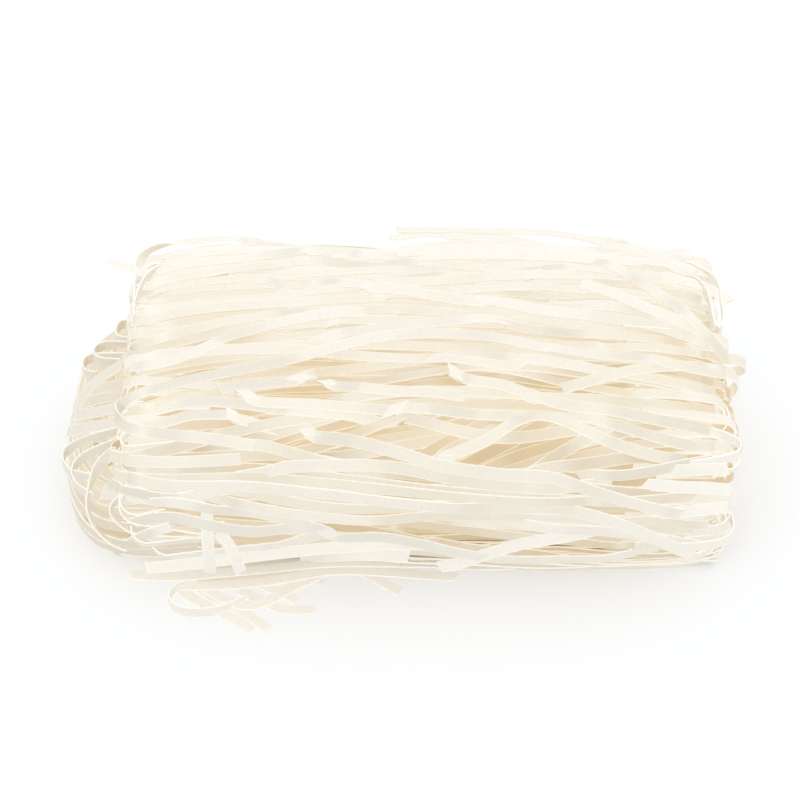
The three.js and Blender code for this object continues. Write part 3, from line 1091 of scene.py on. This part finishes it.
def lobe_hairpins():
    """Hairpins all over the lower fold's left side."""
    strands = []
    columns = np.arange(LOBE_EDGES[0] - LOBE_HALF[1], LOBE_HALF[1] - LOBE_EDGES[1], LOBE_COLUMN)
    rows = np.arange(LOBE_FOOT, LOBE_CENTRE[2] + LOBE_HALF[2] - LOBE_FOOT, LOBE_ROW) - LOBE_CENTRE[2]
    for spot, room in spots(columns, rows, LOBE_JITTER, LOBE_HALF[1:], LOBE_SQUARE):
        back = RNG.uniform(*LOBE_BACK)
        reach = LOBE_HALF[0] * room ** (1 / LOBE_SQUARE) - back
        tip = LOBE_CENTRE + np.array([-reach, *spot])
        radius = RNG.uniform(*LOBE_RADIUS)
        tip[2] = max(tip[2], radius + THICKNESS)
        aim = unit(np.array([-1.0, *(LOBE_AIM * spot / LOBE_HALF[1:])]))
        roll = RNG.choice([-1, 1]) * RNG.normal(*LOBE_ROLL)
        shade = LOBE_SHADE + LOBE_DARKENING * back
        strands.append(hairpin(tip, aim, roll, radius, LOBE_LEG, shade, LOBE_SHADE_GREYING))
    return strands


def lobe_belts():
    """Strands that go round the lower fold's left side, one above another and some behind others."""
    strands = []
    turn = np.linspace(-BELT_SWEEP, BELT_SWEEP, BELT_SAMPLES)
    way = np.stack([-np.cos(turn), np.sin(turn)], 1)
    round_the_fold = way / (np.abs(way) ** LOBE_SQUARE).sum(1, keepdims=True) ** (1 / LOBE_SQUARE)
    for k in range(BELTS):
        height = LOBE_CENTRE[2] + LOBE_HALF[2] * np.interp((k * GOLDEN) % 1, [0, 1], BELT_HEIGHTS)
        inset = RNG.uniform(*BELT_INSET)
        z = height + RNG.uniform(*BELT_TILT) * np.sin(turn) + wander(len(turn), *BELT_WAVES)
        z = np.clip(z, 0.5 * WIDTH, LOBE_CENTRE[2] + BELT_HIGHEST * LOBE_HALF[2])
        level = (z - LOBE_CENTRE[2]) / LOBE_HALF[2]
        shrink = (1 - np.abs(level) ** LOBE_SQUARE) ** (1 / LOBE_SQUARE)
        flat = round_the_fold * (LOBE_HALF[:2] - inset) * shrink[:, None]
        line = resample(np.column_stack([flat + LOBE_CENTRE[:2], z]))
        out = (line - LOBE_CENTRE) / LOBE_HALF
        facing = unit(np.sign(out) * np.abs(out) ** (LOBE_SQUARE - 1) / LOBE_HALF)
        width = WIDTH * RNG.uniform(*HAIRPIN_WIDTH)
        strands.append(plain_strand(line, facing, width, LOBE_SHADE + BELT_DARKENING * inset, LOBE_SHADE_GREYING))
    return strands


def underside():
    """Strands that lie under the block, and up its rounded lower edges."""
    strands = []
    for k in range(UNDERSIDE):
        x = np.arange(LEFT_END + RNG.uniform(*UNDERSIDE_ENDS), RIGHT_END - RNG.uniform(*UNDERSIDE_ENDS), STEP)
        away = np.interp((k + 0.5) / UNDERSIDE, [0, 1], UNDERSIDE_REACH)
        away = away + wander(len(x), *UNDERSIDE_WAVES)
        away += RNG.uniform(*UNDERSIDE_SLOPE) * (x - BLOCK_CENTRE[0])
        share = np.minimum(np.abs(away / BLOCK_HALF[1]) ** BLOCK_CORNER, UNDERSIDE_STEEPEST)
        hull = BLOCK_CENTRE[2] - BLOCK_HALF[2] * (1 - share) ** (1 / BLOCK_CORNER)
        z = np.maximum(hull, 0) + THICKNESS * (0.5 + UNDERSIDE_LAYER * (k % UNDERSIDE_LAYERS))
        line = np.stack([x, BLOCK_CENTRE[1] + away, z], 1)
        # Painted shade: the underside's strands are darker
        strands.append(plain_strand(line, block_normal(line), depth=OVER_DEPTH))
    return strands


# Meshes

SIDES = 8
LONGEST_PIECE = 6.0
BEND_PIECE = math.radians(12.0)
END_SKEW = 0.35
STRIP_LENGTH = 0.99
STRIP_EDGE = 0.05
CORE_FOOT = 2.2
CORE_ROWS = 48
CORE_COLUMNS = 64


def kept_samples(strand):
    """Fewer samples where a strand runs straight, more where it bends or twists."""
    def change(vectors):
        return np.arccos(np.clip((vectors[1:] * vectors[:-1]).sum(1), -1, 1))
    step = np.linalg.norm(np.diff(strand.points, axis=0), axis=1)
    turn = change(heading_of(strand.points)) + change(unit(strand.facing))
    total = np.concatenate([[0], np.cumsum(step / LONGEST_PIECE + turn / BEND_PIECE)])
    wanted = np.linspace(0, total[-1], max(int(math.ceil(total[-1])), 2) + 1)
    return np.unique(np.searchsorted(total, wanted - 1e-6).clip(0, len(total) - 1))


def section_points(width):
    """A flat section with rounded edges: offsets across and through the strand, and their normals."""
    half, thick = width / 2, THICKNESS / 2
    corner = [(half, thick - EDGE_ROUND), (half - EDGE_ROUND, thick)]
    offsets = corner + [(-a, b) for a, b in reversed(corner)]
    offsets += [(-a, -b) for a, b in offsets]
    normals = [(1, 0), (0, 1), (0, 1), (-1, 0)]
    normals += [(-a, -b) for a, b in normals]
    return np.array(offsets), np.array(normals, float)


def tube_quads(rows, columns):
    """The corners of each face of a tube, by row and column, as numbers of its points."""
    i, k = np.meshgrid(np.arange(rows - 1), np.arange(columns), indexing="ij")
    row, turn = i * columns, (k + 1) % columns
    return np.stack([row + k, row + turn, row + columns + turn, row + columns + k], -1)


def strip_map(run, strip, strips):
    """The texture places of a strand's faces: a strip of its own, as long as the strand is."""
    v = (strip + STRIP_EDGE + (1 - 2 * STRIP_EDGE) * np.arange(SIDES + 1) / SIDES) / strips
    grid = np.stack(np.meshgrid(run, v, indexing="ij"), -1).reshape(-1, 2)
    sides = grid[tube_quads(len(run), SIDES + 1)[:, :SIDES].reshape(-1)]
    return np.vstack([sides, np.repeat([[run[0], v[0]], [run[-1], v[0]]], SIDES, 0)])


def show(name, mesh):
    piece = bpy.data.objects.new(name, mesh)
    bpy.context.scene.collection.objects.link(piece)
    return piece


def strand_mesh(name, strands, shades):
    """One mesh of many strands, with the values along and across each strand that its material reads."""
    places, normals, faces, maps, values = [], [], [], [], []
    start = 0
    longest = max(run_length(strand.points)[-1] for strand in strands)
    for strip, strand in enumerate(strands):
        kept = kept_samples(strand)
        count = len(kept)
        run = run_length(strand.points)[kept]
        along = heading_of(strand.points)[kept]
        side = unit(np.cross(strand.facing[kept], along))
        up = np.cross(along, side)
        offsets, edges = section_points(strand.width)
        across = side[:, None] * offsets[None, :, :1]
        ring = strand.points[kept][:, None] + across + up[:, None] * offsets[None, :, 1:]
        skew = strand.skew or RNG.uniform(-END_SKEW, END_SKEW, 2)
        for end in (0, -1):
            ring[end] += along[end] * offsets[:, :1] * skew[end]
        ring[..., 2] += np.maximum(-ring[..., 2].min(1, keepdims=True), 0)
        places.append(ring.reshape(-1, 3))
        quads = tube_quads(count, SIDES).reshape(-1, 4)
        caps = [np.arange(SIDES)[::-1], np.arange(SIDES) + (count - 1) * SIDES]
        faces += (quads + start).tolist() + [(cap + start).tolist() for cap in caps]
        ring_normals = (side[:, None] * edges[None, :, :1] + up[:, None] * edges[None, :, 1:]).reshape(-1, 3)
        normals += [ring_normals[quads.reshape(-1)], np.repeat([-along[0], along[-1]], SIDES, 0)]
        maps.append(strip_map(STRIP_LENGTH * run / longest, strip, len(strands)))
        shade = np.full(count, RNG.uniform(*shades))
        rows = [run, shade, strand.mark[kept], strand.depth[kept], strand.clear[kept]]
        shape = np.tile(offsets[:, 0] / offsets[0, 0], count)
        values.append([shape, *(np.repeat(row, SIDES) for row in rows)])
        start += count * SIDES
    mesh = bpy.data.meshes.new(name)
    mesh.from_pydata((np.vstack(places) * MM).tolist(), [], faces, shade_flat=False)
    mesh.uv_layers.new(name="OFBake").uv.foreach_set("vector", np.vstack(maps).astype(np.float32).ravel())
    for key, rows in zip(("across", "along", "shade", "mark", "depth", "clear"), zip(*values)):
        layer = mesh.attributes.new(key, "FLOAT", "POINT")
        layer.data.foreach_set("value", np.concatenate(rows).astype(np.float32))
    mesh.normals_split_custom_set(np.vstack(normals).tolist())
    return show(name, mesh)


def core_mesh(name, centre, half, corner, end):
    """A closed rounded form, flat below, that fills the inside of the heap."""
    round_it = np.linspace(0, 2 * math.pi, CORE_COLUMNS, False)
    polar, angle = np.meshgrid(np.linspace(0, math.pi, CORE_ROWS), round_it, indexing="ij")
    way = np.stack([-np.cos(polar), np.sin(polar) * np.cos(angle), np.sin(polar) * np.sin(angle)], -1)
    across = (np.abs(way[..., 1:]) ** corner).sum(-1) ** (end / corner)
    way /= (across + np.abs(way[..., 0]) ** end)[..., None] ** (1 / end)
    places = way * half + centre
    places[..., 2] = np.maximum(places[..., 2], CORE_FOOT)
    quads = tube_quads(CORE_ROWS, CORE_COLUMNS).reshape(-1, 4)[:, ::-1]
    mesh = bpy.data.meshes.new(name)
    mesh.from_pydata((places.reshape(-1, 3) * MM).tolist(), [], quads.tolist(), shade_flat=False)
    mesh.validate()
    return show(name, mesh)


# Materials

# Painted shade: cream colours that turn darker and more amber by depth in the heap, as a share of the deepest
CREAM_SHADE_BY_DEPTH = [
    (0.0, (0.855, 0.835, 0.78, 1)),
    (0.09, (0.84, 0.812, 0.745, 1)),
    (0.25, (0.825, 0.79, 0.71, 1)),
    (0.6, (0.795, 0.74, 0.625, 1)),
    (1.0, (0.71, 0.575, 0.37, 1)),
]
DEEPEST = 6.8
# The grain, and painted shade: the grey of strands that are clear of what lies below them
GRAIN_GREY = (0.965, 0.962, 0.958, 1)
GRAIN_SCALE = 1300.0
GRAIN_RANGE = (0.35, 0.75)
CLEAR_SHADE_GREY = (0.915, 0.91, 0.898, 1)
CLEAR_HEIGHT = 2.5
# Painted light at the pale, glowing edges; the whitened places and the brown specks
EDGE_PAINTED_LIGHT = (0.94, 0.905, 0.83, 1)
EDGE_SHARE = 0.45
EDGE_RANGE = (0.84, 0.96)
EDGE_LIGHT = (1.0, 0.94, 0.82, 1)
EDGE_GLOW = 0.06
MARK_WHITE = (0.875, 0.85, 0.78, 1)
MARK_SCALE = 900.0
MARK_RANGE = (0.0, 0.6)
SPECK_BROWN = (0.60, 0.44, 0.32, 1)
SPECK_SCALE = 190.0
SPECK_RANGE = (0.045, 0.02)
# The streaks along a strand, its gloss, and the light that is scattered in it
STREAK_STRETCH = 0.05
STREAK_SCALE = 7.0
STREAK_RELIEF = {"Strength": 0.12, "Distance": 0.0004}
GLOSS = {"Roughness": 0.42, "IOR": 1.45, "Specular IOR Level": 0.3}
SCATTER = {
    "Subsurface Weight": 0.6,
    "Subsurface Radius": (1.0, 0.93, 0.8),
    "Subsurface Scale": 0.0008,
}
# Painted shade: the inside of the heap is amber and darker than the strands, for the light that the layers
# above hold back
CORE_SHADE_AMBER = (0.70, 0.51, 0.26, 1)
CORE_PALE = (0.80, 0.68, 0.48, 1)
CORE_BANDS = (30.0, 500.0, 500.0)
CORE_ROUGHNESS = 0.6


def nodes_of(name):
    material = bpy.data.materials.new(name)
    material.use_nodes = True
    material.node_tree.nodes.clear()
    return material, material.node_tree


def add(tree, kind, inputs=(), **settings):
    node = tree.nodes.new(kind)
    for key, value in settings.items():
        setattr(node, key, value)
    for key, value in dict(inputs).items():
        if isinstance(value, bpy.types.NodeSocket):
            tree.links.new(value, node.inputs[key])
        else:
            node.inputs[key].default_value = value
    return node


def attribute(tree, name):
    return add(tree, "ShaderNodeAttribute", attribute_name=name).outputs["Fac"]


def mix_colour(tree, factor, a, b, blend="MIX"):
    inputs = {0: factor, 6: a, 7: b}
    return add(tree, "ShaderNodeMix", inputs, data_type="RGBA", blend_type=blend).outputs[2]


def math_node(tree, operation, a, b=0.0):
    return add(tree, "ShaderNodeMath", {0: a, 1: b}, operation=operation).outputs[0]


def noise(tree, place, scale, detail=3.0):
    return add(tree, "ShaderNodeTexNoise", {"Vector": place, "Scale": scale, "Detail": detail}).outputs["Fac"]


def ramp(tree, value, low, high):
    inputs = {"Value": value, "From Min": low, "From Max": high}
    return add(tree, "ShaderNodeMapRange", inputs, interpolation_type="SMOOTHSTEP").outputs["Result"]


def colour_ramp(tree, value, stops):
    node = add(tree, "ShaderNodeValToRGB", {"Fac": value})
    elements = node.color_ramp.elements
    while len(elements) < len(stops):
        elements.new(1.0)
    for element, (place, colour) in zip(elements, stops):
        element.position = place
        element.color = colour
    return node.outputs["Color"]


def surface(tree, inputs):
    face = add(tree, "ShaderNodeBsdfPrincipled", inputs)
    add(tree, "ShaderNodeOutputMaterial", {"Surface": face.outputs[0]})


def noodle_colour(tree, across, shade, edge):
    """A strand's colour: painted shade, darker and greyer where it lies deeper or clear of the heap, with
    grain, painted light at the pale edges, whitened places and specks.
    """
    place = add(tree, "ShaderNodeTexCoord").outputs["Object"]
    depth = math_node(tree, "MULTIPLY", attribute(tree, "depth"), 1 / DEEPEST)
    colour = colour_ramp(tree, math_node(tree, "ADD", depth, shade), CREAM_SHADE_BY_DEPTH)
    cloud = ramp(tree, noise(tree, place, GRAIN_SCALE), *GRAIN_RANGE)
    colour = mix_colour(tree, cloud, colour, GRAIN_GREY, blend="MULTIPLY")
    # Painted shade: strands clear of the heap, and those of the lower fold, are greyer
    clear = ramp(tree, attribute(tree, "clear"), 0.0, CLEAR_HEIGHT)
    colour = mix_colour(tree, clear, colour, CLEAR_SHADE_GREY, blend="MULTIPLY")
    # Painted light: the edges are paler
    colour = mix_colour(tree, math_node(tree, "MULTIPLY", edge, EDGE_SHARE), colour, EDGE_PAINTED_LIGHT)
    crackle = ramp(tree, noise(tree, place, MARK_SCALE), *MARK_RANGE)
    marked = math_node(tree, "MULTIPLY", crackle, attribute(tree, "mark"))
    colour = mix_colour(tree, marked, colour, MARK_WHITE)
    speck = add(tree, "ShaderNodeTexVoronoi", {"Vector": place, "Scale": SPECK_SCALE}).outputs["Distance"]
    return mix_colour(tree, ramp(tree, speck, *SPECK_RANGE), colour, SPECK_BROWN)


def noodle_material():
    material, tree = nodes_of("noodle")
    across, along, shade = (attribute(tree, name) for name in ("across", "along", "shade"))
    edge = ramp(tree, math_node(tree, "ABSOLUTE", across), *EDGE_RANGE)
    stretched = math_node(tree, "MULTIPLY", along, STREAK_STRETCH)
    grain = add(tree, "ShaderNodeCombineXYZ", {0: stretched, 1: across, 2: shade}).outputs[0]
    streaks = noise(tree, grain, STREAK_SCALE, detail=4.0)
    relief = add(tree, "ShaderNodeBump", {"Height": streaks, **STREAK_RELIEF}).outputs[0]
    surface(tree, {
        "Base Color": noodle_colour(tree, across, shade, edge),
        "Normal": relief,
        # Painted light: the edges glow
        "Emission Color": EDGE_LIGHT,
        "Emission Strength": math_node(tree, "MULTIPLY", edge, EDGE_GLOW),
        **GLOSS,
        **SCATTER,
    })
    material.cycles.emission_sampling = "NONE"
    return material


def core_material():
    material, tree = nodes_of("noodle_inside")
    place = add(tree, "ShaderNodeTexCoord").outputs["Object"]
    stretched = add(tree, "ShaderNodeMapping", {"Vector": place, "Scale": CORE_BANDS}).outputs[0]
    # Painted shade: amber mixed in bands with a paler amber
    colour = mix_colour(tree, noise(tree, stretched, 1.0, detail=2.0), CORE_SHADE_AMBER, CORE_PALE)
    surface(tree, {"Base Color": colour, "Roughness": CORE_ROUGHNESS})
    return material


# Floor, light and camera

FLOOR_HALF = 3.0
# The floor reflects cool and glows warm: white in the open, with painted warm light in the shadow round the
# bundle
FLOOR_LOOK = {
    "Base Color": (0.75, 0.79, 0.84, 1),
    "Roughness": 0.9,
    "Emission Color": (1.0, 0.82, 0.58, 1),
    "Emission Strength": 0.15,
}
LIGHT_LEAN = (0.04, -0.1, 1.0)
LIGHT_RANGE = {"From Min": -0.1, "From Max": 0.9, "To Min": 0.8, "To Max": 1.255}
CAMERA_CLIP = 20.0
BOUNCES = 16


def make_floor():
    material, tree = nodes_of("floor_white")
    surface(tree, FLOOR_LOOK)
    material.cycles.emission_sampling = "NONE"
    corners = [(x * FLOOR_HALF, y * FLOOR_HALF, 0) for x, y in ((-1, -1), (1, -1), (1, 1), (-1, 1))]
    mesh = bpy.data.meshes.new("floor")
    mesh.from_pydata(corners, [], [(0, 1, 2, 3)])
    mesh.materials.append(material)
    show("floor", mesh)


def make_light():
    """White light from all round, brighter from above and a little from the front."""
    world = bpy.data.worlds.new("studio")
    world.use_nodes = True
    tree = world.node_tree
    way = add(tree, "ShaderNodeTexCoord").outputs["Generated"]
    toward = add(tree, "ShaderNodeVectorMath", {0: way, 1: LIGHT_LEAN}, operation="DOT_PRODUCT")
    inputs = {"Value": toward.outputs["Value"], **LIGHT_RANGE}
    bright = add(tree, "ShaderNodeMapRange", inputs).outputs[0]
    tree.links.new(bright, tree.nodes["Background"].inputs[1])
    tree.nodes["Background"].inputs[0].default_value = (1, 1, 1, 1)
    bpy.context.scene.world = world
    world.cycles.sampling_method = "NONE"


def make_camera():
    data = bpy.data.cameras.new("camera")
    data.sensor_width = SENSOR
    data.lens = FOCAL_PIXELS / FRAME_PIXELS * SENSOR
    data.clip_end = CAMERA_CLIP
    camera = show("camera", data)
    camera.location = CAMERA_PLACE * MM
    camera.rotation_euler = (math.pi / 2 - CAMERA_ELEVATION, 0, 0)
    bpy.context.scene.camera = camera


# The bundle

DEEP_LAY = {"slope": 0.05, "waviness": 2.5, "sway": 14.0, "loops": 0.0}
OUTER_LAY = {"slope": 0.055, "waviness": 2.8, "sway": 10.0, "loops": 0.15}
DEEPEST_NUMBERS = range(40)
DEEP_NUMBERS = range(40, 80)
OUTER_NUMBERS = range(80, 200)
DIAGONALS = 36
TOP_SHADING = 0.4
GAP_SHADING = 1.4
BRIDGE_SAG = 0.5
FOOT_GIRTH = 6.0
DEEP_SHADES = (-0.35, 0.1)
USUAL_SHADES = (0, 0.1)
TOP_SHADES = (0, 0.05)
CORE_END = 12.0
CORE_BELOW = 0.5
LOBE_CORE = np.array([7.0, 6.0, 6.0])


def make_groups():
    """The strands of each piece and the spread of their tones, and the heap's level."""
    deep = lay_filler(DEEPEST_NUMBERS, **DEEP_LAY, leave_open=False)
    deep += lay_filler(DEEP_NUMBERS, **DEEP_LAY, leave_open=True)
    deep += lay_diagonals(DIAGONALS)
    filler = lay_filler(OUTER_NUMBERS, **OUTER_LAY, leave_open=True)
    level = heap.level()
    within_gap = lay_traced(GAP_STRANDS, level, 0.0)
    traced = lay_traced(TOP_STRANDS + MIDDLE_STRANDS + FRONT_STRANDS, level, level - BRIDGE_SAG)
    crest = heap.crest()
    ends = end_hairpins(-1) + end_hairpins(1)
    lower_fold = lobe_hairpins() + lobe_belts()
    spilt = spill()
    loose = back_traced() + lobe_traced() + floor_traced() + loops_and_strips()
    foot = [laid for laid in deep if laid.path[:, 1].mean() < FOOT_GIRTH]
    inner = [laid for laid in deep if laid.path[:, 1].mean() >= FOOT_GIRTH]
    top = settled(within_gap, level, crest, GAP_SHADING) + settled(traced, level, crest, TOP_SHADING)
    groups = {
        "strands_foot": (settled(foot, level, crest) + underside() + spilt, USUAL_SHADES),
        "strands_deep": (settled(inner, level, crest), DEEP_SHADES),
        "strands_ends": (ends, USUAL_SHADES),
        "strands_lobe": (lower_fold, USUAL_SHADES),
        "strands_outer": (settled(filler, level, crest), USUAL_SHADES),
        "strands_top": (top + loose, TOP_SHADES),
    }
    return groups, level


def make_bundle():
    groups, level = make_groups()
    noodle, inside = noodle_material(), core_material()
    strands = [strand_mesh(name, *group) for name, group in groups.items()]
    block_half = BLOCK_HALF - [CORE_END, level + CORE_BELOW, level + CORE_BELOW]
    cores = [
        core_mesh("core_block", BLOCK_CENTRE, block_half, BLOCK_CORNER, BLOCK_END),
        core_mesh("core_lobe", LOBE_CENTRE, LOBE_HALF - LOBE_CORE, LOBE_SQUARE, LOBE_SQUARE),
    ]
    for piece in strands:
        # Light from all round passes these strands, which are translucent, except at the foot
        piece.visible_diffuse = piece.name == "strands_foot"
    for piece in strands + cores:
        piece.data.materials.append(noodle if piece in strands else inside)
        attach(piece, "root")
        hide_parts("noodle_bundle")


make_bundle()
make_floor()
make_light()
make_camera()
bpy.context.scene.view_settings.view_transform = "Standard"
for kind in ("max_bounces", "diffuse_bounces", "transmission_bounces"):
    setattr(bpy.context.scene.cycles, kind, BOUNCES)
